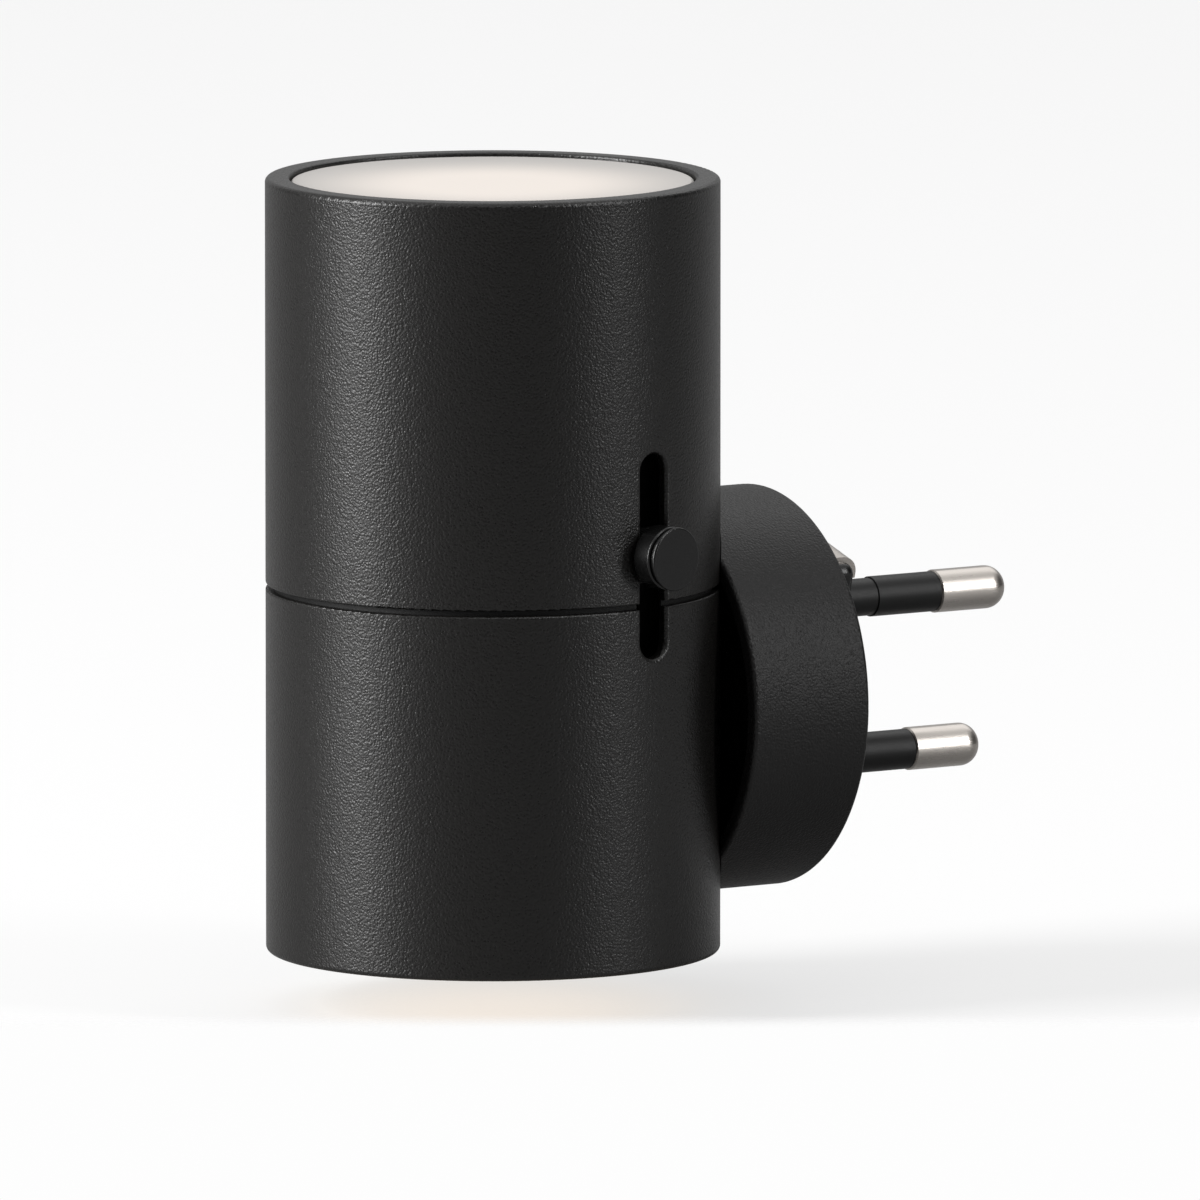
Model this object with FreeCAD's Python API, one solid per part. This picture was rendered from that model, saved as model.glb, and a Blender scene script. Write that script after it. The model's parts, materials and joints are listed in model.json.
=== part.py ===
"""Plug in wall night light: two black tubes with a frosted disc at each end, a dimmer knob that slides
in a slot across the seam, and a round plug housing behind whose pin carrier turns in the housing.

Row frame: millimetres, +Z up, +Y towards the wall. The origin is where the turning axis of the pins
meets the wall side of the plug housing. Inside the tubes, places are taken from the tube's own axis
and from the seam between the two tubes.
"""

import FreeCAD, Part
import math
import os

V = FreeCAD.Vector
UP = V(0, 0, 1)
TO_WALL = V(0, 1, 0)
FAR = 200.0

# The two tubes
tube_radius = 25.0
tube_wall = 1.1
upper_length = 44.8
lower_length = 40.2
seam_gap = 0.6
rim_thickness = 2.65
rim_ledge_width = 1.5
rim_ledge_height = 1.2
rim_edge_round = 0.55
rim_inner_round = 0.3
seam_edge_round = 0.2
fit_gap = 0.1
loose_gap = 0.3

# Where the tubes stand against the wall
tube_back_to_wall = 10.1
plug_above_lower_end = 26.9

# Frosted end discs, reflectors and lamp boards, measured inwards from each end
diffuser_recess = 0.4
diffuser_thickness = 2.5
diffuser_edge_round = 0.3
diffuser_gap = 0.25
reflector_wall = 1.0
reflector_depth = 9.3
reflector_mouth = 10.0
board_gap = 2.9
board_thickness = 1.6
led_size = 3.0
led_height = 0.9
led_ring_radius = 6.0
led_ring_count = 6
plate_thickness = 2.5

# Posts and screws that clamp both lamp boards into one frame
post_radius = 2.5
post_inwards = 6.4
post_angles = (50.0, 170.0, 290.0)
screw_radius = 1.2
screw_head_radius = 2.1
screw_head_height = 1.2
screw_bite = 5.0

# Sleeve that joins the tubes
sleeve_wall = 1.1
sleeve_to_lower_plate = 9.0
sleeve_to_upper_plate = 3.1
seam_bead_depth = 0.85

# Dimmer slot, knob and carriage
slot_angle = 13.2
slot_width = 3.8
slot_length = 22.6
slot_above_seam = 5.4
slot_edge_round = 0.5
knob_radius = 3.5
knob_height = 3.1
knob_edge_round = 0.2
knob_cap_thickness = 0.35
knob_groove_width = 0.5
knob_groove_depth = 0.35
knob_lip_round = 0.25
knob_stand_off = 0.3
stem_radius = 1.6
stem_in_knob = 1.4
carriage_wall = 0.7
carriage_width = 6.0
carriage_length = 6.0
window_margin = 0.8
lever_width = 1.8
lever_height = 1.4
dimmer_depth = 6.0
dimmer_width = 9.0
dimmer_length = 32.0
dimmer_behind_tube = 2.9
dimmer_slot_width = 2.8
dimmer_slot_depth = 3.0
wiper_length = 0.8
bracket_wall = 1.2
bracket_height = 10.0

# Driver board and what is on it
driver_y = -6.0
driver_edge_gap = 4.9
driver_thickness = 1.6
transformer_size = (14.0, 12.0, 16.0)
transformer_corner = (-10.0, -2.0)
capacitor_radius = 4.0
capacitor_length = 8.0
capacitor_heights = (-13.0, -4.0)
capacitor_from_connector = 2.0
chip_boxes = ((-7.0, 3.0, 8.0, 2.4, 8.0), (4.0, 6.0, 5.0, 1.6, 4.0), (-16.0, 3.0, 4.0, 1.6, 5.0))
fuse_radius = 2.2
fuse_length = 10.0
fuse_below_plate = 7.6
terminal_size = (10.0, 8.0, 11.0)
connector_size = (4.0, 4.0, 6.0)
connector_inwards = 5.0
connector_from_plate = 7.0
lead_radius = 0.7

# Plug housing, a cup whose open front is notched for the tube
housing_radius = 22.2
housing_depth = 15.0
housing_wall = 1.5
housing_rear_round = 0.6
housing_front_round = 0.45
tube_seat_gap = 0.1
web_thickness = 1.6
web_behind_tube = 0.5
collar_radius = 5.0
collar_bore = 3.4
collar_reach = 6.8
washer_radius = 7.5
washer_thickness = 1.4
nut_radius = 7.8
nut_thickness = 3.0

# Rear cover and the screws that hold it
cover_thickness = 2.0
cover_screw_inwards = 1.7
cover_post_radius = 1.6
cover_screw_radius = 0.8
cover_head_radius = 1.35
cover_head_height = 0.9
cover_screw_angles = (0.0, 80.0, 280.0)
cover_screw_length = 5.0
ledge_gap = 0.3

# Turning pin carrier. It stands turned by rest_turn from upright
rest_turn = 16.0
carrier_inwards = 4.7
flange_step = 1.1
flange_thickness = 2.1
lug_reach = 1.7
lug_width = 2.0
bridge_width = 7.6
bridge_inwards = 0.9
bridge_height = 7.6
bridge_corner = 1.2

# Pins, sleeves and earth clips
pin_radius = 2.4
pin_spacing = 19.0
pin_tip = 29.5
pin_metal_length = 9.0
pin_tip_round = 2.1
pin_core_radius = 1.5
pin_head_radius = 3.0
pin_head_thickness = 0.8
sleeve_radius = 2.24
sleeve_root_radius = 2.1
sleeve_root_end = 12.2
sleeve_edge = 0.15
clip_width = 5.0
clip_thickness = 0.6
clip_bend = 2.0
clip_end_inwards = 2.0
clip_sleeve_gap = 1.5

# Contact tracks in the housing and the brushes that ride on them
insulator_thickness = 0.8
insulator_hole = 6.0
track_thickness = 0.6
track_width = 2.0
live_track_beyond_pin = 0.5
neutral_track_inwards = 2.9
track_half_sweep = 100.0
brush_gap = 0.1
brush_width = 2.2
brush_thickness = 0.5
brush_tip = 1.2
wire_radius = 0.6
wire_bend = 1.8
wire_offset = 1.5

# Worked out from the sizes above
tube_axis_to_wall = tube_radius + tube_back_to_wall
seam_above_plug = seam_gap / 2 + lower_length - plug_above_lower_end
tube_bore = tube_radius - tube_wall
board_radius = tube_bore - board_gap
post_circle = tube_bore - post_inwards
dimmer_face = tube_bore - dimmer_behind_tube
driver_left = -tube_bore + driver_edge_gap
driver_right = dimmer_face - dimmer_depth
connector_left = driver_left + connector_inwards
capacitor_x = connector_left + connector_size[0] + capacitor_from_connector + capacitor_radius
rim_bore = tube_radius - rim_thickness
ledge_bore = rim_bore - rim_ledge_width
ledge_start = diffuser_recess + diffuser_thickness
ledge_end = ledge_start + rim_ledge_height
board_start = ledge_end + reflector_depth
plate_start = board_start + board_thickness
plate_end = plate_start + plate_thickness
plate_radius = tube_bore - loose_gap
top_end = seam_gap / 2 + upper_length
bottom_end = -seam_gap / 2 - lower_length
frame_top = top_end - plate_end
frame_bottom = bottom_end + plate_end
sleeve_top = frame_top - sleeve_to_upper_plate
sleeve_bottom = frame_bottom + sleeve_to_lower_plate
fuse_height = frame_top - fuse_below_plate
travel = slot_length / 2 - stem_radius - loose_gap
web_rear = -(tube_axis_to_wall - tube_radius) + web_behind_tube + web_thickness
web_front = web_rear - web_thickness
housing_bore = housing_radius - housing_wall
cover_radius = housing_bore - fit_gap
cover_screw_circle = housing_bore - cover_screw_inwards
carrier_radius = housing_bore - carrier_inwards
flange_radius = carrier_radius + flange_step
cover_bore = carrier_radius + fit_gap
bridge_half_height = carrier_radius - bridge_inwards
clip_end_height = bridge_half_height - clip_end_inwards
live_track_radius = pin_spacing / 2 + live_track_beyond_pin
neutral_track_radius = flange_radius - neutral_track_inwards
flange_rear = -cover_thickness - ledge_gap
flange_front = flange_rear - flange_thickness
ledge_face = flange_front - ledge_gap
track_face = web_rear + insulator_thickness + track_thickness
collar_end = web_front - collar_reach


def at_tube(x, y, z):
    """A point given from the tube's axis and the seam, in the row frame."""
    return V(x, y - tube_axis_to_wall, z + seam_above_plug)


def disc(radius, low, high, x=0.0, y=0.0):
    """An upright cylinder, placed from the tube's axis and the seam."""
    return Part.makeCylinder(radius, high - low, at_tube(x, y, low), UP)


def ring(outer, inner, low, high):
    return disc(outer, low, high).cut(disc(inner, low - 1, high + 1))


def box(x, y, z, sx, sy, sz):
    """A box by its lowest corner and size, placed from the tube's axis and the seam."""
    return Part.makeBox(sx, sy, sz, at_tube(x, y, z))


def rod(radius, start, end, x=0.0, z=0.0):
    """A cylinder along Y in the row frame."""
    return Part.makeCylinder(radius, end - start, V(x, start, z), TO_WALL)


def rear_ring(outer, inner, start, end):
    return rod(outer, start, end).cut(rod(inner, start - 1, end + 1))


def round_edges(shape, radius, wanted):
    """Rounds the edges for which wanted(edge) is true."""
    return shape.makeFillet(radius, [e for e in shape.Edges if wanted(e)])


def circle_edge(edge, radius, height=None, depth=None):
    """True for a circular edge of that radius, at that height along Z or depth along Y."""
    if not isinstance(edge.Curve, Part.Circle) or abs(edge.Curve.Radius - radius) > 1e-4:
        return False
    centre = edge.Curve.Center
    if height is not None:
        return abs(edge.Curve.Axis.z) > 0.9 and abs(centre.z - height - seam_above_plug) < 1e-4
    return abs(edge.Curve.Axis.y) > 0.9 and abs(centre.y - depth) < 1e-4


def runs_along(edge, axis):
    """True for a straight edge along the axis named X, Y or Z."""
    return isinstance(edge.Curve, Part.Line) and abs(getattr(edge.Curve.Direction, axis.lower())) > 0.999


def depth_at(end, sign, depth):
    """The height of a level that lies depth inwards from an end; sign is 1 for the upper end."""
    return end - sign * depth


def span(end, sign, near, far):
    """Low and high of a layer between two depths from an end."""
    a, b = depth_at(end, sign, near), depth_at(end, sign, far)
    return min(a, b), max(a, b)


def on_circle(radius, degrees):
    return radius * math.cos(math.radians(degrees)), radius * math.sin(math.radians(degrees))


def along_slot(shape):
    """Turns a shape modelled towards +X about the tube's axis, to face the way the slot faces."""
    return shape.rotate(at_tube(0, 0, 0), UP, slot_angle)


def turned(shape):
    """Turns a shape of the pin carrier from upright to its rest position."""
    return shape.rotate(V(0, 0, 0), TO_WALL, rest_turn)


def slot_cutter(width, length, start, end):
    """An upright slot with round ends, cut along X from start to end."""
    half, straight = width / 2, (length - width) / 2
    low, high = slot_above_seam - straight, slot_above_seam + straight
    ends = [at_tube(start, -half, low), at_tube(start, 0, low - half), at_tube(start, half, low),
            at_tube(start, half, high), at_tube(start, 0, high + half), at_tube(start, -half, high)]
    outline = Part.Wire([Part.Arc(ends[0], ends[1], ends[2]).toShape(),
                         Part.LineSegment(ends[2], ends[3]).toShape(),
                         Part.Arc(ends[3], ends[4], ends[5]).toShape(),
                         Part.LineSegment(ends[5], ends[0]).toShape()])
    return Part.Face(outline).extrude(V(end - start, 0, 0))


# The tubes


def tube(end, sign):
    """One tube: thick rim with a seat for the frosted disc, thin wall, and half of the slot.

    It is made longer than it is, so the whole slot is rounded at once, and then cut off at the seam.
    """
    seam = sign * seam_gap / 2
    beyond = -sign * slot_length
    body = disc(tube_radius, min(beyond, end), max(beyond, end))
    body = round_edges(body, rim_edge_round, lambda e: circle_edge(e, tube_radius, height=end))
    low, high = span(end, sign, -1, ledge_start)
    body = body.cut(disc(rim_bore, low, high))
    body = round_edges(body, rim_inner_round, lambda e: circle_edge(e, rim_bore, height=end))
    body = body.cut(disc(ledge_bore, -FAR, FAR))
    deep = depth_at(end, sign, ledge_end)
    body = body.cut(disc(tube_bore, min(beyond - sign, deep), max(beyond - sign, deep)))
    body = body.cut(along_slot(slot_cutter(slot_width, slot_length, tube_bore - 3, tube_radius + 3)))
    body = round_edges(body, slot_edge_round, on_slot_outline)
    body = body.cut(disc(tube_radius + 1, min(beyond - sign, seam), max(beyond - sign, seam)))
    return body.cut(corner_off(seam, sign))


def on_slot_outline(edge):
    """True for an edge of the slot that lies on the outside of the tube."""
    points = edge.discretize(5)
    outside = all(abs(math.hypot(p.x, p.y + tube_axis_to_wall) - tube_radius) < 1e-3 for p in points)
    return outside and edge.BoundBox.DiagonalLength < slot_length


def corner_off(seam, sign):
    """The corner that the rounding at the seam takes off a tube."""
    high = seam + sign * seam_edge_round
    corner = ring(tube_radius + 1, tube_radius - seam_edge_round, min(seam, high), max(seam, high))
    return corner.cut(Part.makeTorus(tube_radius - seam_edge_round, seam_edge_round, at_tube(0, 0, high), UP))


def upper_tube():
    return tube(top_end, 1)


def lower_tube():
    """The lower tube, with the hole that the housing's collar goes through."""
    hole = rod(collar_radius + fit_gap, -tube_axis_to_wall, 0)
    return tube(bottom_end, -1).cut(hole)


def joining_sleeve():
    """Sleeve inside both tubes, with a bead in the seam, a window for the carriage and a notch at the nut.

    The window stops below the bead, so the bead runs on to the edges of the slot.
    """
    outer = tube_bore - fit_gap
    body = ring(outer, outer - sleeve_wall, sleeve_bottom, sleeve_top)
    bead = ring(tube_radius - seam_bead_depth, outer - sleeve_wall / 2, -seam_gap / 2, seam_gap / 2)
    body = body.fuse(bead).removeSplitter()
    tall = carriage_length + 2 * travel + 2 * window_margin
    wide = carriage_width + 2 * window_margin
    window = box(tube_bore / 2, -wide / 2, slot_above_seam - tall / 2, tube_radius, wide, tall)
    under_bead = disc(tube_bore - fit_gap / 2, -FAR, FAR)
    across_bead = box(tube_bore / 2, -slot_width / 2, -seam_gap, tube_radius, slot_width, 2 * seam_gap)
    notch = rod(nut_radius + 2 * fit_gap + 1, -tube_axis_to_wall, 0)
    return body.cut(along_slot(window.common(under_bead))).cut(along_slot(across_bead)).cut(notch)


# The lamp ends


def diffuser(end, sign):
    low, high = span(end, sign, diffuser_recess, ledge_start)
    radius = rim_bore - diffuser_gap
    body = disc(radius, low, high)
    face = depth_at(end, sign, diffuser_recess)
    return round_edges(body, diffuser_edge_round, lambda e: circle_edge(e, radius, height=face))


def reflector(end, sign):
    """White cone between the ledge and the lamp board, with a flange under the ledge."""
    wide, narrow = ledge_bore - fit_gap, reflector_mouth
    near, far = depth_at(end, sign, ledge_end), depth_at(end, sign, board_start)
    step = sign * reflector_wall
    points = [(wide, near), (plate_radius, near), (plate_radius, near - step), (wide, near - step),
              (narrow + reflector_wall, far), (narrow, far)]
    corners = [at_tube(x, 0, z) for x, z in points]
    face = Part.Face(Part.makePolygon(corners + corners[:1]))
    return face.revolve(at_tube(0, 0, 0), UP, 360)


def screw_holes(end, sign):
    low, high = span(end, sign, board_start - 1, plate_end + 1)
    holes = [disc(screw_radius + fit_gap, low, high, *on_circle(post_circle, a)) for a in post_angles]
    return holes[0].multiFuse(holes[1:])


def lead_place():
    """Where the lamp leads stand, from the tube's axis."""
    x = connector_left + connector_size[0] / 2
    return x, driver_y - driver_thickness / 2 - connector_size[1] / 2


def led_board(end, sign):
    low, high = span(end, sign, board_start, plate_start)
    return disc(board_radius, low, high).cut(screw_holes(end, sign))


def leds(end, sign):
    """One chip in the middle and a ring of chips round it, on the outer face of the board."""
    low, _ = span(end, sign, board_start - led_height, board_start)
    places = [(0.0, 0.0)]
    places += [on_circle(led_ring_radius, 360 * i / led_ring_count) for i in range(led_ring_count)]
    half = led_size / 2
    chips = [box(x - half, y - half, low, led_size, led_size, led_height) for x, y in places]
    return Part.makeCompound(chips)


def heat_plate(end, sign):
    low, high = span(end, sign, plate_start, plate_end)
    lead_hole = disc(lead_radius + loose_gap, low - 1, high + 1, *lead_place())
    return disc(plate_radius, low, high).cut(screw_holes(end, sign)).cut(lead_hole)


def frame_posts():
    """Three posts between the heat plates, bored at both ends for the screws."""
    posts = []
    for angle in post_angles:
        x, y = on_circle(post_circle, angle)
        post = disc(post_radius, frame_bottom, frame_top, x, y)
        bite = screw_bite + fit_gap
        post = post.cut(disc(screw_radius + fit_gap / 2, frame_top - bite, frame_top + 1, x, y))
        post = post.cut(disc(screw_radius + fit_gap / 2, frame_bottom - 1, frame_bottom + bite, x, y))
        posts.append(post)
    return Part.makeCompound(posts)


def frame_screws():
    screws = []
    for end, sign in ((top_end, 1), (bottom_end, -1)):
        for angle in post_angles:
            x, y = on_circle(post_circle, angle)
            head = disc(screw_head_radius, *span(end, sign, board_start - screw_head_height, board_start), x, y)
            cross = span(end, sign, board_start - screw_head_height - 1, board_start - screw_head_height / 2)
            width, long = screw_radius / 2, screw_head_radius * 1.3
            for sx, sy in ((width, long), (long, width)):
                head = head.cut(box(x - sx / 2, y - sy / 2, cross[0], sx, sy, cross[1] - cross[0]))
            shank = disc(screw_radius, *span(end, sign, board_start, plate_end + screw_bite), x, y)
            screws.append(head.fuse(shank).removeSplitter())
    return Part.makeCompound(screws)


# The driver


def driver_board():
    low = driver_y - driver_thickness / 2
    size = (driver_right - driver_left, driver_thickness, frame_top - frame_bottom)
    return box(driver_left, low, frame_bottom, *size)


def board_front():
    return driver_y - driver_thickness / 2


def board_back():
    return driver_y + driver_thickness / 2


def transformer():
    """Wound core between two yoke plates, on the wall side of the board."""
    x, z = transformer_corner
    sx, sy, sz = transformer_size
    core = box(x, board_back(), z, sx, sy, sz)
    for side in (x - 1, x + sx - sx / 7):
        core = core.cut(box(side, board_back() + sy / 6, z + sz / 4, sx / 7 + 1, sy, sz / 2))
    return core


def filter_capacitors():
    cans = []
    for z in capacitor_heights:
        start = at_tube(capacitor_x, board_front(), z)
        can = Part.makeCylinder(capacitor_radius, capacitor_length, start, V(0, -1, 0))
        far = start.y - capacitor_length
        can = round_edges(can, capacitor_radius / 8, lambda e: circle_edge(e, capacitor_radius, depth=far))
        cans.append(can)
    return Part.makeCompound(cans)


def driver_chips():
    return Part.makeCompound([box(x, board_front() - sy, z, sx, sy, sz) for x, z, sx, sy, sz in chip_boxes])


def fuse():
    """Glass fuse lying across the board, with a cap at each end."""
    centre = at_tube(-fuse_length / 2, board_front() - fuse_radius, fuse_height)
    glass = Part.makeCylinder(fuse_radius * 0.85, fuse_length, centre, V(1, 0, 0))
    cap = fuse_length / 4
    caps = [Part.makeCylinder(fuse_radius, cap, centre + V(x, 0, 0), V(1, 0, 0))
            for x in (0, fuse_length - cap)]
    return glass.multiFuse(caps).removeSplitter()


def terminal_block():
    """Block that takes the two mains wires, bored where they go in."""
    sx, sy, sz = terminal_size
    middle = -seam_above_plug
    return box(-sx / 2, board_back(), middle - sz / 2, sx, sy, sz)


def connector(end, sign):
    """Small socket on the board for the lead to one lamp board."""
    sx, sy, sz = connector_size
    low, high = span(end, sign, plate_end + connector_from_plate, plate_end + connector_from_plate + sz)
    return box(connector_left, board_front() - sy, low, sx, sy, high - low)


def led_lead(end, sign):
    """Lead from the socket on the driver board through the heat plate to the lamp board."""
    low, high = span(end, sign, plate_start, plate_end + connector_from_plate)
    return disc(lead_radius, low, high, *lead_place())


# The dimmer


def dimmer_body():
    """Slide dimmer with a long slot for its lever."""
    low = slot_above_seam - dimmer_length / 2
    body = box(dimmer_face - dimmer_depth, -dimmer_width / 2, low, dimmer_depth, dimmer_width, dimmer_length)
    tall = 2 * travel + lever_height + 2 * window_margin
    groove = box(dimmer_face - dimmer_slot_depth, -dimmer_slot_width / 2, slot_above_seam - tall / 2,
                 dimmer_slot_depth + 1, dimmer_slot_width, tall)
    return along_slot(body.cut(groove))


def dimmer_bracket():
    """Bracket from the driver board to the back of the slide dimmer."""
    back = dimmer_face - dimmer_depth
    plate = box(back - bracket_wall, -dimmer_width / 2, 0, bracket_wall, dimmer_width, bracket_height)
    foot_width = driver_right / 3
    foot = box(driver_right - foot_width, board_back(), 0, foot_width, -board_back(), bracket_height)
    beyond = box(back, -FAR / 2, -FAR / 2, FAR, FAR, FAR)
    return along_slot(plate).fuse(foot).cut(along_slot(beyond)).removeSplitter()


def knob():
    """Round push knob with a thin cap in front of a groove, and a blind hole for the stem."""
    start = tube_radius + knob_stand_off
    centre = at_tube(start, 0, slot_above_seam)
    body = Part.makeCylinder(knob_radius, knob_height, centre, V(1, 0, 0))
    face = start + knob_height
    lip = face - knob_cap_thickness - knob_groove_width
    groove = Part.makeCylinder(knob_radius + 1, knob_groove_width, at_tube(lip, 0, slot_above_seam), V(1, 0, 0))
    core = Part.makeCylinder(knob_radius - knob_groove_depth, knob_height, centre, V(1, 0, 0))
    body = body.cut(groove.cut(core))
    for place, radius in ((face, knob_edge_round), (lip, knob_lip_round)):
        body = round_edges(body, radius, lambda e: isinstance(e.Curve, Part.Circle)
                           and abs(e.Curve.Radius - knob_radius) < 1e-4 and abs(e.Curve.Center.x - place) < 1e-4)
    hole = Part.makeCylinder(stem_radius + fit_gap / 2, stem_in_knob + fit_gap + 1, centre - V(1, 0, 0), V(1, 0, 0))
    return along_slot(body.cut(hole))


def slider_carriage():
    """Curved plate behind the slot, with the stem for the knob and the lever for the dimmer."""
    outer = tube_bore - loose_gap
    low, high = slot_above_seam - carriage_length / 2, slot_above_seam + carriage_length / 2
    plate = ring(outer, outer - carriage_wall, low, high)
    plate = plate.common(box(0, -carriage_width / 2, low, tube_radius, carriage_width, high - low))
    middle = outer - carriage_wall / 2
    reach = tube_radius + knob_stand_off + stem_in_knob - middle
    stem = Part.makeCylinder(stem_radius, reach, at_tube(middle, 0, slot_above_seam), V(1, 0, 0))
    tip = dimmer_face - dimmer_slot_depth + wiper_length + loose_gap
    lever = box(tip, -lever_width / 2, slot_above_seam - lever_height / 2, middle - tip, lever_width, lever_height)
    return along_slot(plate.fuse([stem, lever]).removeSplitter())


def wiper():
    """Contact on the end of the lever, just clear of the floor of the dimmer's slot."""
    tip = dimmer_face - dimmer_slot_depth + loose_gap
    return along_slot(box(tip, -lever_width / 2, slot_above_seam - lever_height / 2,
                          wiper_length, lever_width, lever_height))


# The plug housing


def tube_clearance():
    """The space that the tube takes out of the housing's front."""
    return disc(tube_radius + tube_seat_gap, -FAR, FAR)


def cover_post_place(angle):
    """A cover screw's place, x and z, by its angle from upright."""
    return (cover_screw_circle * math.sin(math.radians(angle)),
            cover_screw_circle * math.cos(math.radians(angle)))


def plug_housing():
    """Cup with a web across it, a ledge for the carrier, screw posts, and a collar into the tube."""
    body = rod(housing_radius, -housing_depth, 0)
    body = round_edges(body, housing_rear_round, lambda e: circle_edge(e, housing_radius, depth=0))
    body = round_edges(body, housing_front_round,
                       lambda e: circle_edge(e, housing_radius, depth=-housing_depth))
    body = body.cut(rod(housing_bore, web_rear, 1))
    body = body.cut(rod(housing_bore, -housing_depth - 1, web_front))
    body = body.cut(tube_clearance())
    ledge = rear_ring(housing_bore + housing_wall / 2, flange_radius - rim_ledge_height, web_rear - 0.5, ledge_face)
    posts = []
    for angle in cover_screw_angles:
        x, z = cover_post_place(angle)
        posts.append(rod(cover_post_radius, web_rear - 0.5, -cover_thickness, x, z))
    collar = rod(collar_radius, collar_end, web_rear - 0.5)
    body = body.fuse([ledge, collar] + posts).removeSplitter()
    for angle in cover_screw_angles:
        x, z = cover_post_place(angle)
        body = body.cut(rod(cover_screw_radius + fit_gap / 2, -cover_thickness - cover_screw_length, 1, x, z))
    return body.cut(rod(collar_bore, collar_end - 1, 1))


def saddle_washer():
    """Washer whose one face is curved to the inside of the tube."""
    start = tube_bore - washer_radius ** 2 / (2 * tube_bore) - washer_thickness
    body = rod(washer_radius, start - tube_axis_to_wall, 0).common(disc(tube_bore - fit_gap / 2, -FAR, FAR))
    return body.cut(rod(collar_radius + fit_gap, -FAR, 0))


def collar_nut():
    """Six sided nut on the collar, inside the tube."""
    face = tube_bore - washer_radius ** 2 / (2 * tube_bore) - washer_thickness - tube_axis_to_wall
    points = []
    for i in range(7):
        angle = math.radians(60 * i)
        points.append(V(nut_radius * math.cos(angle), face - nut_thickness, nut_radius * math.sin(angle)))
    body = Part.Face(Part.makePolygon(points)).extrude(V(0, nut_thickness, 0))
    return body.cut(rod(collar_radius + fit_gap / 2, -FAR, 0))


def rear_cover():
    """Ring that keeps the pin carrier in the housing, countersunk for its screws."""
    body = rear_ring(cover_radius, cover_bore, -cover_thickness, 0)
    for angle in cover_screw_angles:
        x, z = cover_post_place(angle)
        body = body.cut(rod(cover_screw_radius + fit_gap, -cover_thickness - 1, 1, x, z))
        body = body.cut(rod(cover_head_radius + fit_gap, -cover_head_height - fit_gap / 2, 1, x, z))
    return body


def cover_screws():
    screws = []
    for angle in cover_screw_angles:
        x, z = cover_post_place(angle)
        top = -fit_gap / 2
        head = rod(cover_head_radius, top - cover_head_height, top, x, z)
        arm, deep = cover_head_radius * 1.3, cover_head_height / 2
        for sx, sz in ((arm, arm / 4), (arm / 4, arm)):
            head = head.cut(Part.makeBox(sx, deep + 1, sz, V(x - sx / 2, top - deep, z - sz / 2)))
        shank = rod(cover_screw_radius, -cover_screw_length, top - cover_head_height, x, z)
        screws.append(head.fuse(shank).removeSplitter())
    return Part.makeCompound(screws)


def insulator():
    """Insulating disc on the web that carries the contact tracks."""
    return rear_ring(flange_radius - rim_ledge_height - fit_gap, insulator_hole, web_rear,
                     web_rear + insulator_thickness)


def track(radius, upright):
    """Part ring that a brush rides on; upright is 1 for the upper half and -1 for the lower."""
    start = web_rear + insulator_thickness
    base = V(0, start, 0)
    outer = Part.makeCylinder(radius + track_width / 2, track_thickness, base, TO_WALL, 2 * track_half_sweep)
    inner = Part.makeCylinder(radius - track_width / 2, track_thickness, base, TO_WALL, 2 * track_half_sweep)
    body = outer.cut(inner)
    middle = body.Solids[0].CenterOfMass
    now = math.degrees(math.atan2(middle.x, middle.z))
    wanted = 0.0 if upright > 0 else 180.0
    return body.rotate(V(0, 0, 0), TO_WALL, wanted - now)


def mains_wire(upright, reach):
    """Wire from the terminal block through the collar, then outwards along the insulator to its track."""
    block = board_back() + terminal_size[1] - tube_axis_to_wall
    lying = web_rear + insulator_thickness + wire_radius
    z1, z2 = upright * wire_offset, upright * (wire_offset + wire_bend)
    middle = wire_bend * (1 - math.sqrt(0.5))
    arc_points = (V(0, lying - wire_bend, z1), V(0, lying - middle, z1 + upright * middle), V(0, lying, z2))
    path = Part.Wire([Part.LineSegment(V(0, block, z1), arc_points[0]).toShape(),
                      Part.Arc(*arc_points).toShape(),
                      Part.LineSegment(arc_points[2], V(0, lying, upright * reach)).toShape()])
    section = Part.Wire([Part.makeCircle(wire_radius, V(0, block, z1), TO_WALL)])
    return path.makePipeShell([section], True, False)


# The pin carrier


def pin_carrier():
    """Turning disc with a flange behind the cover, a stop lug, and the bridge that the pins stand on."""
    body = rod(carrier_radius, flange_front, 0)
    body = body.fuse(rod(flange_radius, flange_front, flange_rear))
    lug = Part.makeBox(lug_width, flange_thickness, lug_reach + 2,
                       V(-lug_width / 2, flange_front, -flange_radius - lug_reach))
    bridge = Part.makeBox(bridge_width, bridge_height + 1, 2 * bridge_half_height,
                          V(-bridge_width / 2, -1, -bridge_half_height))
    bridge = round_edges(bridge, clip_bend - clip_thickness,
                         lambda e: min(v.Y for v in e.Vertexes) > 0 and runs_along(e, "X"))
    bridge = round_edges(bridge, bridge_corner, lambda e: runs_along(e, "Y"))
    body = body.fuse([lug, bridge]).removeSplitter()
    for side in (-1, 1):
        z = side * pin_spacing / 2
        body = body.cut(rod(pin_core_radius + fit_gap / 2, flange_front - 1, bridge_height + 1, 0, z))
        body = body.cut(rod(pin_head_radius + fit_gap / 2, flange_front - 1,
                            flange_front + pin_head_thickness, 0, z))
    return turned(body)


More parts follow.
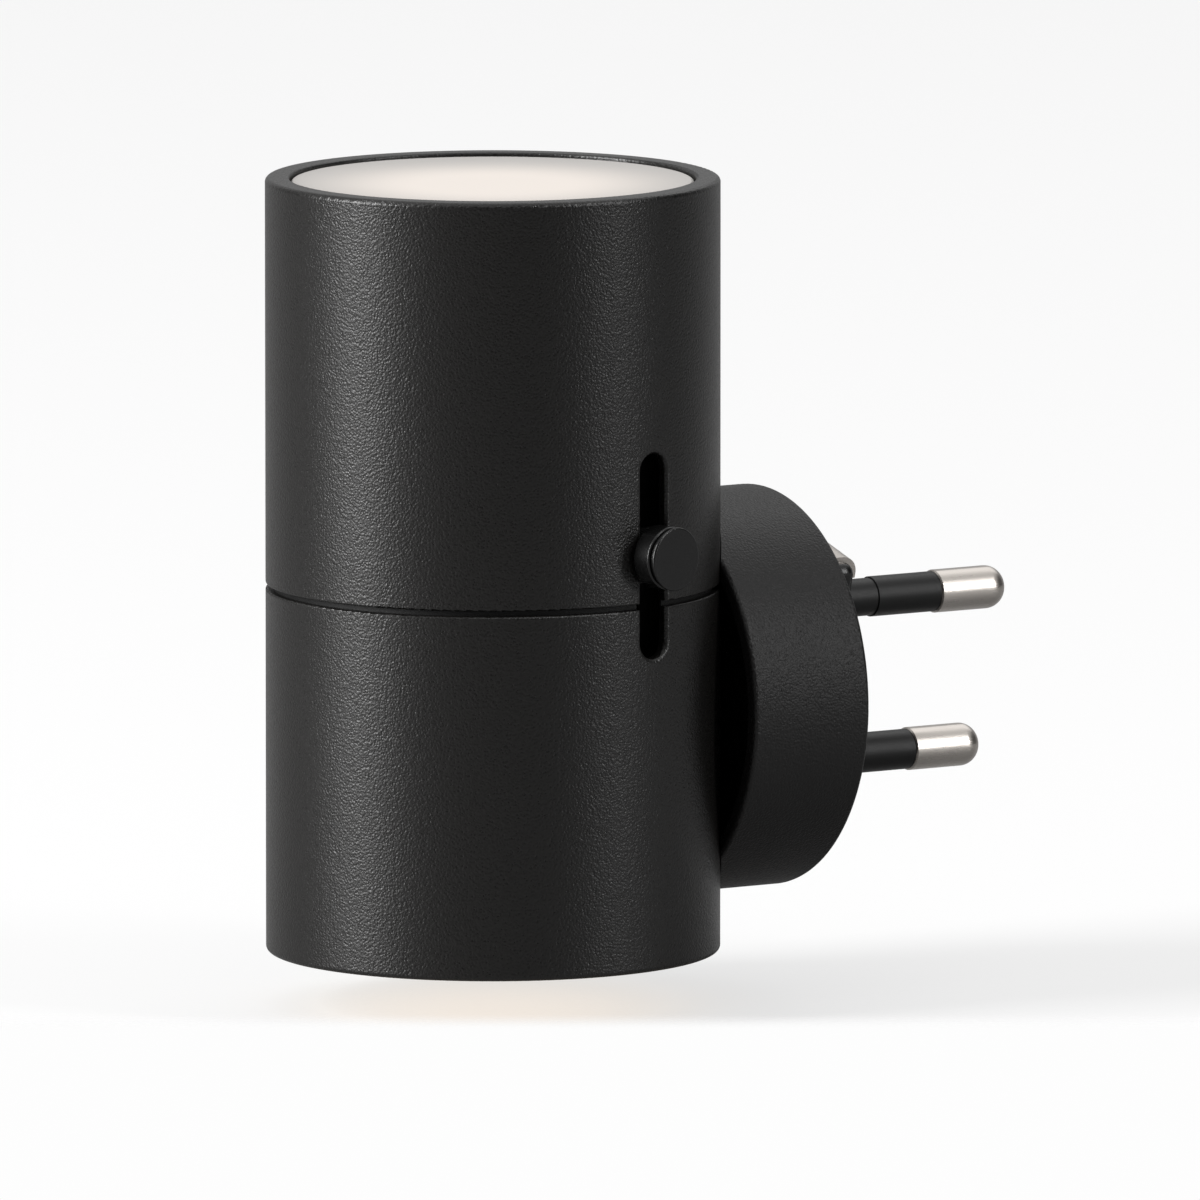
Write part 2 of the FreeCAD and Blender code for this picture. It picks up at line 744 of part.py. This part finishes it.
def pin(side):
    """Round pin with a rounded tip, a thin core inside its sleeve, and a head behind the carrier."""
    z = side * pin_spacing / 2
    start = pin_tip - pin_metal_length
    metal = rod(pin_radius, start, pin_tip, 0, z)
    metal = round_edges(metal, pin_tip_round, lambda e: circle_edge(e, pin_radius, depth=pin_tip))
    metal = metal.makeChamfer(sleeve_edge, [e for e in metal.Edges if circle_edge(e, pin_radius, depth=start)])
    core = rod(pin_core_radius, flange_front, start + 1, 0, z)
    head = rod(pin_head_radius, flange_front, flange_front + pin_head_thickness, 0, z)
    return turned(metal.fuse([core, head]).removeSplitter())


def pin_sleeves():
    """Black insulating sleeves over the pin cores, a little thinner at the root."""
    sleeves = []
    end = pin_tip - pin_metal_length
    for side in (-1, 1):
        z = side * pin_spacing / 2
        sleeve = rod(sleeve_radius, sleeve_root_end, end, 0, z)
        sleeve = sleeve.makeChamfer(sleeve_edge / 2, [e for e in sleeve.Edges
                                                     if isinstance(e.Curve, Part.Circle)])
        sleeve = sleeve.fuse(rod(sleeve_root_radius, bridge_height, sleeve_root_end + 1, 0, z))
        sleeves.append(turned(sleeve.removeSplitter().cut(rod(pin_core_radius, 0, end + 1, 0, z))))
    return Part.makeCompound(sleeves)


def earth_clips():
    """Bent strips over the two ends of the bridge, from the carrier's face round onto the bridge's face.

    The end of each strip is hollowed round its pin's sleeve.
    """
    clips = []
    top, face = bridge_half_height + clip_thickness, bridge_height + clip_thickness
    inner = clip_bend - clip_thickness
    cut = math.sqrt(0.5)
    bend = V(0, face - clip_bend, top - clip_bend)
    outline = [Part.LineSegment(V(0, 0, top), V(0, bend.y, top)).toShape(),
               Part.Arc(V(0, bend.y, top), bend + V(0, clip_bend * cut, clip_bend * cut),
                        V(0, face, bend.z)).toShape(),
               Part.LineSegment(V(0, face, bend.z), V(0, face, clip_end_height)).toShape(),
               Part.LineSegment(V(0, face, clip_end_height), V(0, bridge_height, clip_end_height)).toShape(),
               Part.LineSegment(V(0, bridge_height, clip_end_height), V(0, bridge_height, bend.z)).toShape(),
               Part.Arc(V(0, bridge_height, bend.z), bend + V(0, inner * cut, inner * cut),
                        V(0, bend.y, bridge_half_height)).toShape(),
               Part.LineSegment(V(0, bend.y, bridge_half_height), V(0, 0, bridge_half_height)).toShape(),
               Part.LineSegment(V(0, 0, bridge_half_height), V(0, 0, top)).toShape()]
    strip = Part.Face(Part.Wire(outline)).extrude(V(clip_width, 0, 0))
    strip.translate(V(-clip_width / 2, 0, 0))
    strip = strip.cut(rod(sleeve_radius + clip_sleeve_gap, bridge_height, face + 1, 0, pin_spacing / 2))
    for half_turn in (0, 180):
        clips.append(turned(strip.copy().rotate(V(0, 0, 0), TO_WALL, half_turn)))
    return Part.makeCompound(clips)


def brush(side, track_radius):
    """Leaf on the back of a pin's head that reaches its track."""
    top = flange_front
    near = pin_spacing / 2 - brush_width / 2
    far = track_radius + brush_tip / 2
    leaf = Part.makeBox(brush_width, brush_thickness, far - near, V(-brush_width / 2, top - brush_thickness, near))
    drop = top - brush_thickness - track_face - brush_gap
    tip = Part.makeBox(brush_width, drop + brush_thickness / 2, brush_tip,
                       V(-brush_width / 2, track_face + brush_gap, track_radius - brush_tip / 2))
    body = leaf.fuse(tip).removeSplitter()
    return turned(body.rotate(V(0, 0, 0), TO_WALL, 0 if side > 0 else 180))


def main():
    os.makedirs("parts", exist_ok=True)
    nodes = {
        "upper_tube": upper_tube(),
        "lower_tube": lower_tube(),
        "joining_sleeve": joining_sleeve(),
        "frame_posts": frame_posts(),
        "frame_screws": frame_screws(),
        "driver_board": driver_board(),
        "transformer": transformer(),
        "filter_capacitors": filter_capacitors(),
        "driver_chips": driver_chips(),
        "fuse": fuse(),
        "terminal_block": terminal_block(),
        "dimmer_body": dimmer_body(),
        "dimmer_bracket": dimmer_bracket(),
        "knob": knob(),
        "slider_carriage": slider_carriage(),
        "wiper": wiper(),
        "plug_housing": plug_housing(),
        "saddle_washer": saddle_washer(),
        "collar_nut": collar_nut(),
        "rear_cover": rear_cover(),
        "cover_screws": cover_screws(),
        "insulator": insulator(),
        "live_track": track(live_track_radius, 1),
        "neutral_track": track(neutral_track_radius, -1),
        "live_wire": mains_wire(1, live_track_radius - track_width / 2),
        "neutral_wire": mains_wire(-1, neutral_track_radius - track_width / 2),
        "pin_carrier": pin_carrier(),
        "live_pin": pin(1),
        "neutral_pin": pin(-1),
        "pin_sleeves": pin_sleeves(),
        "earth_clips": earth_clips(),
        "live_brush": brush(1, live_track_radius),
        "neutral_brush": brush(-1, neutral_track_radius),
    }
    for name, end, sign in (("upper", top_end, 1), ("lower", bottom_end, -1)):
        nodes[name + "_diffuser"] = diffuser(end, sign)
        nodes[name + "_reflector"] = reflector(end, sign)
        nodes[name + "_led_board"] = led_board(end, sign)
        nodes[name + "_leds"] = leds(end, sign)
        nodes[name + "_heat_plate"] = heat_plate(end, sign)
        nodes[name + "_connector"] = connector(end, sign)
        nodes[name + "_lead"] = led_lead(end, sign)
    for name, shape in nodes.items():
        for solid in shape.Solids:
            if not solid.isValid() or solid.Volume <= 0:
                raise ValueError(name + " is not a valid solid")
        print(f"{name:20s} solids {len(shape.Solids):2d}  volume {shape.Volume:10.2f} mm3")
        shape.exportStep(f"parts/{name}.step")


main()
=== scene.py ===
"""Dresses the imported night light: materials, stage, lights and camera.

Blender places are metres in the row frame: +Z up, +Y into the wall, origin on the wall side of the plug.
"""

import json
import math

import bpy
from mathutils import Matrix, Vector


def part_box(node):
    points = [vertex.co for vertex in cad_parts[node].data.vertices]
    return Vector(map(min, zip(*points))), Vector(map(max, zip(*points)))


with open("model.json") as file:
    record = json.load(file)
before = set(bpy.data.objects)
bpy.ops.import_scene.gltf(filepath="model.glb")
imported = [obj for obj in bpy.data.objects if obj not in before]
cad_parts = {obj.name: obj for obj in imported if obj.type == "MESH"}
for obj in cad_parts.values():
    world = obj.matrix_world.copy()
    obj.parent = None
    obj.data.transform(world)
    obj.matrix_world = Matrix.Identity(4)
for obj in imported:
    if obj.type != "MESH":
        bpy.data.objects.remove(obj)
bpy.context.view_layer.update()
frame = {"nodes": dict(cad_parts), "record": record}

MM = 0.001

# The tube's axis, the seam and the lower end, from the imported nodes
upper_low, upper_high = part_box("upper_tube")
lower_low, lower_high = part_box("lower_tube")
tube_x = (upper_low[0] + upper_high[0]) / 2
tube_y = (upper_low[1] + upper_high[1]) / 2
seam_z = (upper_low[2] + lower_high[2]) / 2
bottom_z = lower_low[2]
seam_middle = Vector((tube_x, tube_y, seam_z))

# The photograph's view: degrees round from the front and up, and the place it aims at from the seam
view_turn = math.radians(58.0)
view_rise = math.radians(7.7)
view_distance = 3.0
image_pixels = 1200
pixels_per_mm = 9.10
aim_right = 11.76 * MM
aim_down = 1.76 * MM
sensor_width = 36.0
clip_end = 20.0
view_level = Vector((math.sin(view_turn), -math.cos(view_turn), 0))
view_flat = view_level * math.cos(view_rise)
view_back = view_flat + Vector((0, 0, math.sin(view_rise)))
view_right = Vector((math.cos(view_turn), math.sin(view_turn), 0))
view_up = view_back.cross(view_right)

# The floor just under the lamp, which its plug holds in the air; it fades out in front of the tubes' axis
floor_gap = 6.0 * MM
floor_z = bottom_z - floor_gap
floor_size = 6.0
fade_start = 8 * MM
fade_end = 20 * MM
floor_lift = 0.615
floor_mirror = 0.05

# The background: what the camera sees, and the light of the pale wall, the dim room and the ceiling
seen_light = 0.985
wall_light = 0.46
room_light = 0.04
overhead_light = 0.95
wall_edge = -0.95
room_edge = -0.45
overhead_start = 0.35
overhead_full = 0.95

# The softboxes' power
left_power = 70.0
right_power = 15.5
back_power = 2.0

# The discs' glow: its middle is a little forward of the tubes' axis to paint the rim's shade on the far side;
# it is even inside the first radius
rim_shade_shift = 4 * MM
glow_inner = 8 * MM
glow_outer = 24 * MM


def linear(hex_colour):
    """The linear colour of an sRGB hex value."""
    channels = [int(hex_colour[i:i + 2], 16) / 255 for i in (1, 3, 5)]
    return [c / 12.92 if c <= 0.04045 else ((c + 0.055) / 1.055) ** 2.4 for c in channels] + [1.0]


def add(tree, kind, inputs=None, **settings):
    """Adds a node with its settings; an input is set to a value or linked to another node's output."""
    node = tree.nodes.new("ShaderNode" + kind)
    for name, value in settings.items():
        setattr(node, name, value)
    for name, value in (inputs or {}).items():
        if isinstance(value, bpy.types.NodeSocket):
            tree.links.new(value, node.inputs[name])
        else:
            node.inputs[name].default_value = value
    return node


def calc(tree, operation, *values):
    """The result of a sum on values or outputs."""
    return add(tree, "Math", dict(enumerate(values)), operation=operation).outputs[0]


def along(tree, place, direction):
    """How far a place lies along a direction."""
    return add(tree, "VectorMath", {0: place, 1: direction}, operation="DOT_PRODUCT").outputs["Value"]


def between(tree, amount, low, high, start=0.0, end=1.0, interpolation="LINEAR"):
    """A value that goes from low to high as an amount goes from start to end."""
    change = add(tree, "MapRange", {"Value": amount, "From Min": start, "From Max": end,
                                    "To Min": low, "To Max": high}, interpolation_type=interpolation)
    return change.outputs["Result"]


def noise(tree, place, size_mm, detail):
    """Soft noise with waves of a size."""
    waves = add(tree, "TexNoise", {"Vector": place, "Scale": 1 / (size_mm * MM), "Detail": detail})
    return waves.outputs["Fac"]


def relief(tree, height, depth_mm):
    """The normal of a face with relief of a depth."""
    bump = add(tree, "Bump", {"Height": height, "Distance": depth_mm * MM, "Strength": 1.0})
    return bump.outputs["Normal"]


def new_material(name):
    """An empty material, with its tree and its surface socket."""
    material = bpy.data.materials.new(name)
    material.use_nodes = True
    tree = material.node_tree
    tree.nodes.clear()
    output = tree.nodes.new("ShaderNodeOutputMaterial")
    return material, tree, output.inputs["Surface"]


def coated(name, skin):
    """A material of one shader, whose inputs a function works out from its tree and object coordinates."""
    material, tree, surface = new_material(name)
    place = add(tree, "TexCoord").outputs["Object"]
    shader = add(tree, "BsdfPrincipled", skin(tree, place))
    tree.links.new(shader.outputs[0], surface)
    return material


def blend(tree, amount, dark, light, low=0.35, high=0.65):
    """Change from one colour to another as an amount goes from low to high."""
    ramp = add(tree, "ValToRGB", {"Fac": amount})
    for element, position, colour in zip(ramp.color_ramp.elements, (low, high), (dark, light)):
        element.position = position
        element.color = linear(colour)
    return ramp.outputs["Color"]


def patches(tree, place, size_mm, dark, light):
    """Slow change between two colours over patches of a size."""
    return blend(tree, noise(tree, place, size_mm, detail=3.0), dark, light)


def grained(name, size_mm, depth_mm, dark, light, rough_low, rough_high, ior, specular):
    """A black skin of leather-like grains: the valleys between them are duller than their tops, and darker with
    painted shade.
    """
    def skin(tree, place):
        cells = add(tree, "TexVoronoi", {"Vector": place, "Scale": 1 / (size_mm * MM), "Smoothness": 0.4},
                    feature="SMOOTH_F1")
        height = calc(tree, "ADD", cells.outputs["Distance"], noise(tree, place, size_mm, detail=1.0))
        # Painted shade: the base colour is darker in the grains' valleys, with a slow random change of tone on
        # top
        tone = calc(tree, "MULTIPLY_ADD", noise(tree, place, 16, detail=3.0), 0.3, height)
        return {"Base Color": blend(tree, tone, dark, light, low=0.6, high=1.3),
                "Roughness": between(tree, height, rough_low, rough_high, start=0.5, end=1.2),
                "IOR": ior, "Specular IOR Level": specular,
                "Normal": relief(tree, height, depth_mm)}
    return coated(name, skin)


def smooth_abs():
    """Moulded ABS from a fine sanded tool: nearly smooth, with faint waves."""
    def skin(tree, place):
        waves = noise(tree, place, 0.25, detail=4.0)
        return {"Base Color": patches(tree, place, 9, "#0c0c0c", "#101010"),
                "Roughness": between(tree, waves, 0.22, 0.3),
                "IOR": 1.53, "Specular IOR Level": 0.4,
                "Normal": relief(tree, waves, 0.004)}
    return coated("smooth_abs", skin)


def opal_acrylic(name, hot, cool, strength):
    """Opal acrylic with a frosted face, lit from behind: warm in the middle, greyer towards its rim, with
    painted shade from the rim on its far side.
    """
    def skin(tree, place):
        # The glow's middle is moved forward, so painted shade from the rim darkens the far side
        middle = Vector((tube_x, tube_y, 0)) + view_flat * rim_shade_shift
        centred = add(tree, "Mapping", {"Vector": place, "Location": -middle}).outputs["Vector"]
        flat = add(tree, "VectorMath", {0: centred, 1: (1, 1, 0)}, operation="MULTIPLY").outputs["Vector"]
        away = add(tree, "VectorMath", {0: flat}, operation="LENGTH").outputs["Value"]
        fade = between(tree, away, 0.0, 1.0, glow_inner, glow_outer, "SMOOTHSTEP")
        return {"Base Color": linear("#a3a09d"), "Roughness": 0.5, "IOR": 1.49,
                "Emission Color": blend(tree, fade, hot, cool, low=0.0, high=1.0),
                "Emission Strength": strength,
                "Normal": relief(tree, noise(tree, place, 0.12, detail=2.0), 0.004)}
    return coated(name, skin)


def plated_metal(name, dark, light, rough_low, rough_high, streak_mm):
    """Plated or bare metal, with fine turned streaks along the part and a slow change of tone."""
    def skin(tree, place):
        stretched = add(tree, "Mapping", {"Vector": place, "Scale": (1, 0.06, 1)}).outputs["Vector"]
        streaks = noise(tree, stretched, streak_mm, detail=4.0)
        return {"Base Color": patches(tree, place, 12, dark, light), "Metallic": 1.0,
                "Roughness": between(tree, streaks, rough_low, rough_high, start=0.3, end=0.7),
                "Normal": relief(tree, streaks, 0.0006)}
    return coated(name, skin)


def moulded(name, dark, light, roughness, grain_mm, depth_mm, ior):
    """Moulded, pressed or coated small part: two close tones and a fine skin."""
    def skin(tree, place):
        fine = noise(tree, place, grain_mm, detail=3.0)
        return {"Base Color": patches(tree, place, 5, dark, light),
                "Roughness": between(tree, fine, roughness - 0.08, roughness + 0.08),
                "IOR": ior, "Normal": relief(tree, fine, depth_mm)}
    return coated(name, skin)


def finishes():
    """The record's slots by name, and three more: the pins' sleeves, a painted shade black for the slot's
    depths and the seam's groove, and the lower disc.
    """
    return {
        "powder_coat": grained("wrinkle_powder_coat", size_mm=0.27, depth_mm=0.036, dark="#050404",
                               light="#121110", rough_low=0.26, rough_high=0.36, ior=1.5, specular=0.44),
        "housing_plastic": grained("spark_grained_abs", size_mm=0.27, depth_mm=0.045, dark="#040404",
                                   light="#100f0f", rough_low=0.38, rough_high=0.48, ior=1.53, specular=0.3),
        "smooth_plastic": smooth_abs(),
        "opal_acrylic": opal_acrylic("opal_acrylic", "#fff0e2", "#5a5957", 0.37),
        "opal_acrylic_bright": opal_acrylic("opal_acrylic_bright", "#ffd8a2", "#b39a72", 0.8),
        "pin_nylon": moulded("pin_nylon", "#080808", "#0c0c0c", 0.42, 0.3, 0.004, 1.38),
        # Painted shade: a dead black for the inner parts seen through the slot and the seam's groove
        "shade_black": moulded("painted_shade_black", "#060606", "#090909", 0.6, 0.3, 0.004, 1.4),
        "nickel_plate": plated_metal("nickel_plated_brass", "#bcb6b0", "#c4beb8", 0.26, 0.32, 0.2),
        "zinc_steel": plated_metal("zinc_plated_steel", "#a9abae", "#babcbf", 0.28, 0.42, 0.3),
        "plain_aluminium": plated_metal("milled_aluminium", "#c4c5c7", "#d2d3d4", 0.3, 0.45, 0.4),
        "bare_brass": plated_metal("rolled_brass", "#b59553", "#c6a765", 0.24, 0.38, 0.25),
        "white_plastic": moulded("white_polycarbonate", "#e2e1dc", "#ebeae6", 0.3, 0.6, 0.006, 1.58),
        "white_board": moulded("white_solder_mask", "#dfe0dc", "#e8e9e5", 0.35, 0.3, 0.004, 1.52),
        "green_board": moulded("green_solder_mask", "#14502f", "#1a5e38", 0.33, 0.3, 0.004, 1.52),
        "led_phosphor": moulded("phosphor_resin", "#dcbf4b", "#e8cd5c", 0.28, 0.1, 0.004, 1.5),
        "dark_component": moulded("epoxy_moulding", "#19191b", "#202023", 0.5, 0.15, 0.01, 1.55),
        "component_sleeve": moulded("shrink_sleeve", "#1b2140", "#222a4c", 0.3, 0.8, 0.01, 1.5),
        "fuse_ceramic": moulded("glazed_ceramic", "#ded8ca", "#e8e3d7", 0.2, 0.5, 0.004, 1.52),
        "grey_plastic": moulded("grey_polyamide", "#6a6d70", "#75787b", 0.48, 0.25, 0.01, 1.53),
        "insulator_sheet": moulded("pressed_insulating_board", "#a38c62", "#b29c72", 0.6, 0.2, 0.015, 1.5),
        "brown_insulation": moulded("brown_silicone_sleeve", "#51301c", "#5d3924", 0.45, 0.3, 0.008, 1.43),
        "blue_insulation": moulded("blue_silicone_sleeve", "#204a8c", "#28549a", 0.45, 0.3, 0.008, 1.43),
    }


def dress(materials):
    """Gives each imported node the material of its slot, apart from the few that the photograph shows apart."""
    slots = {part["node"]: part["material_slot"] for part in frame["record"]["subparts"]}
    # The joining sleeve and the dimmer body are turned dead black as painted shade in the seam's groove and the
    # slot
    slots.update({"pin_sleeves": "pin_nylon", "joining_sleeve": "shade_black", "dimmer_body": "shade_black",
                  "lower_diffuser": "opal_acrylic_bright"})
    for name, piece in frame["nodes"].items():
        piece.data.materials.clear()
        piece.data.materials.append(materials[slots[name]])


def lit_background():
    """White to the camera. To the lamp it is a pale wall behind, a bright ceiling and a dim room in front."""
    world = bpy.data.worlds.new("studio")
    bpy.context.scene.world = world
    world.use_nodes = True
    tree = world.node_tree
    tree.nodes.clear()
    ray = add(tree, "LightPath").outputs
    seen = calc(tree, "MAXIMUM", ray["Is Camera Ray"], ray["Is Transmission Ray"])
    direction = add(tree, "TexCoord").outputs["Generated"]
    level = between(tree, along(tree, direction, view_flat), wall_light, room_light,
                    wall_edge, room_edge, "SMOOTHSTEP")
    upward = add(tree, "SeparateXYZ", {"Vector": direction}).outputs["Z"]
    overhead = between(tree, upward, 0.0, overhead_light, overhead_start, overhead_full, "SMOOTHSTEP")
    soft = add(tree, "Background", {"Color": linear("#ffffff"), "Strength": calc(tree, "ADD", level, overhead)})
    white = add(tree, "Background", {"Color": linear("#ffffff"), "Strength": seen_light})
    mix = add(tree, "MixShader", {0: seen, 1: soft.outputs[0], 2: white.outputs[0]})
    add(tree, "OutputWorld", {"Surface": mix.outputs[0]})


def floor_material():
    """Pale satin floor that is white to the camera and keeps the lamp's shadow and glow.

    It fades into the white background just in front of the lamp, so it doesn't hide the end that dips
    below it when the lamp is turned.
    """
    material, tree, surface = new_material("pale_floor")
    ray = add(tree, "LightPath").outputs
    mirrored = calc(tree, "MULTIPLY", ray["Is Glossy Ray"], floor_mirror)
    seen = calc(tree, "MAXIMUM", ray["Is Camera Ray"], mirrored)
    plain = add(tree, "BsdfPrincipled", {"Base Color": linear("#868686"), "Roughness": 0.6})
    white = add(tree, "Emission", {"Color": linear("#ffffff"),
                                   "Strength": calc(tree, "MULTIPLY", seen, floor_lift)})
    both = add(tree, "AddShader", {0: plain.outputs[0], 1: white.outputs[0]})
    forward = along(tree, add(tree, "TexCoord").outputs["Object"], view_level)
    fade = between(tree, forward, 0.0, 1.0, fade_start, fade_end, "SMOOTHSTEP")
    open_to = calc(tree, "MAXIMUM", ray["Is Camera Ray"], ray["Is Shadow Ray"])
    clear = add(tree, "BsdfTransparent")
    faded = add(tree, "MixShader", {0: calc(tree, "MULTIPLY", fade, open_to), 1: both.outputs[0],
                                    2: clear.outputs[0]})
    tree.links.new(faded.outputs[0], surface)
    return material


def stage():
    """A wide pale floor just under the lamp, with its own origin on the tubes' axis."""
    bpy.ops.mesh.primitive_plane_add(size=floor_size, location=(tube_x, tube_y, floor_z))
    floor = bpy.context.object
    floor.name = "floor"
    floor.data.materials.append(floor_material())


def from_camera(degrees, elevation):
    """A level direction turned to the right of the camera's, raised by an elevation."""
    turn, rise = math.radians(degrees), math.tan(math.radians(elevation))
    return view_level * math.cos(turn) + view_right * math.sin(turn) + Vector((0, 0, rise))


def softbox(name, direction, distance, width, height, power):
    """A plain area lamp that looks at the tubes from a direction."""
    lamp = bpy.data.lights.new(name, "AREA")
    lamp.shape = "RECTANGLE"
    lamp.size = width
    lamp.size_y = height
    lamp.energy = power
    holder = bpy.data.objects.new(name, lamp)
    bpy.context.scene.collection.objects.link(holder)
    holder.location = seam_middle + direction.normalized() * distance
    holder.rotation_euler = (seam_middle - holder.location).to_track_quat("-Z", "Y").to_euler()


def lights():
    """A broad softbox at the left, a slim weaker one at the right, and a soft one high behind at the right."""
    softbox("left_softbox", from_camera(-72, 24), distance=2.0, width=0.72, height=1.65, power=left_power)
    softbox("right_softbox", from_camera(65, 24), distance=2.0, width=0.3, height=1.65, power=right_power)
    softbox("back_softbox", from_camera(150, 42), distance=1.6, width=0.9, height=0.9, power=back_power)


def camera():
    """Long lens view from a little above, as in the photograph."""
    lens = bpy.data.cameras.new("camera")
    lens.sensor_width = sensor_width
    lens.lens = sensor_width * view_distance / (image_pixels / pixels_per_mm * MM)
    lens.clip_end = clip_end
    holder = bpy.data.objects.new("camera", lens)
    bpy.context.scene.collection.objects.link(holder)
    aim = seam_middle + view_right * aim_right - view_up * aim_down
    holder.location = aim + view_back * view_distance
    holder.rotation_euler = view_back.to_track_quat("Z", "Y").to_euler()
    bpy.context.scene.camera = holder


def main():
    dress(finishes())
    stage()
    lit_background()
    lights()
    camera()
    bpy.context.scene.view_settings.view_transform = "Standard"


main()
